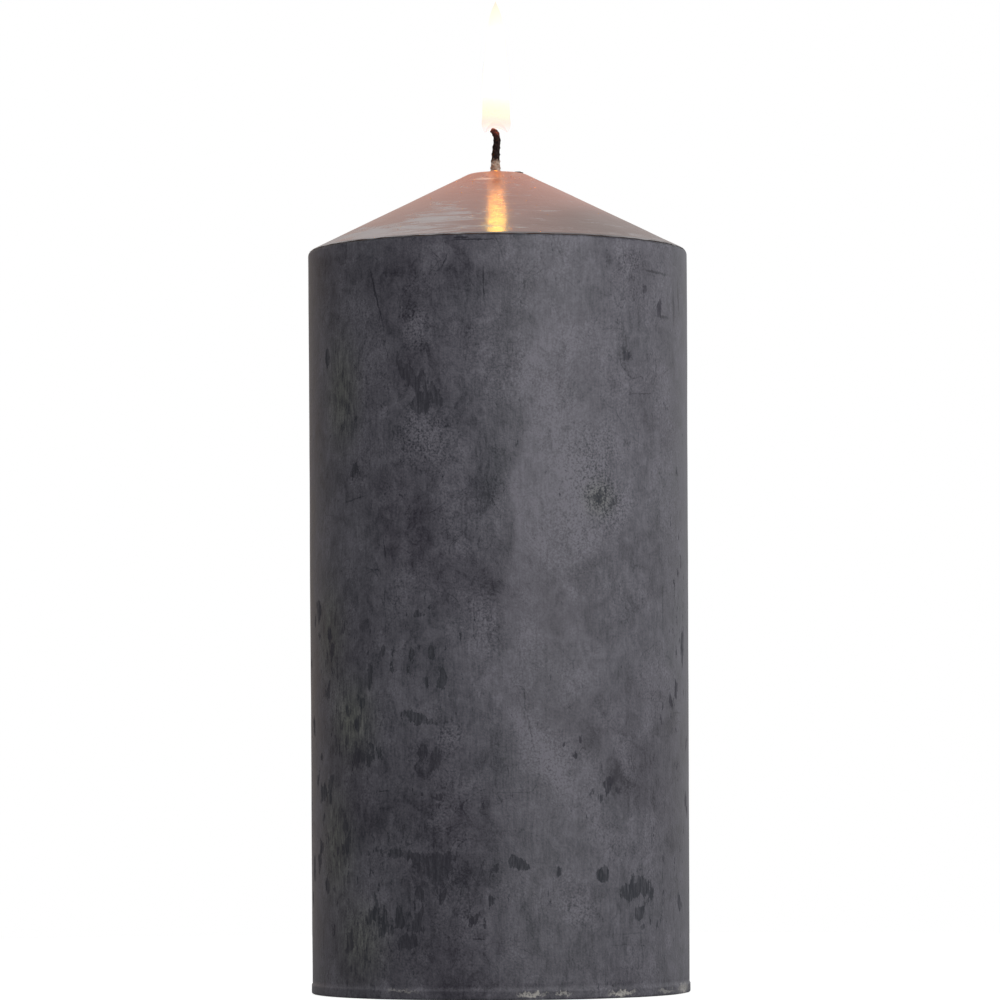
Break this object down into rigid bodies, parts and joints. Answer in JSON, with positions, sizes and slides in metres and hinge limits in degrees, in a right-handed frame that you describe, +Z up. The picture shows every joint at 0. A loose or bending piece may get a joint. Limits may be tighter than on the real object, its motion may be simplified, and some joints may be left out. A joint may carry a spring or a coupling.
{
  "type": "pillar candle",
  "caption": "Lit dark grey wax pillar candle with straight sides, a low cone top and a short braided wick.",
  "frame": {"origin": "centre of the base, on the surface that the candle stands on", "axes": "+Z up along the candle and its wick; the burnt end of the wick hooks over towards -X; +Y is away from the viewer"},
  "size_m": [0.0708, 0.0708, 0.1852],
  "materials": {
    "core_wax": "undyed paraffin wax, dull",
    "side_wax": "dyed wax, frosted and scuffed, soft sheen",
    "top_wax": "dyed wax, warmed smooth, satin",
    "melted_wax": "liquid wax, wet gloss",
    "wick_cotton": "braided cotton, burnt above the wax",
    "tin_plate": "pressed tin plate, satin",
    "flame": "burning gas, glowing"
  },
  "bodies": {
    "root": {"wax_core": "core_wax", "side_coat": "side_wax", "top_coat": "top_wax", "melt_pool": "melted_wax", "wick": "wick_cotton", "wick_sustainer": "tin_plate", "flame": "flame"}
  },
  "joints": []
}
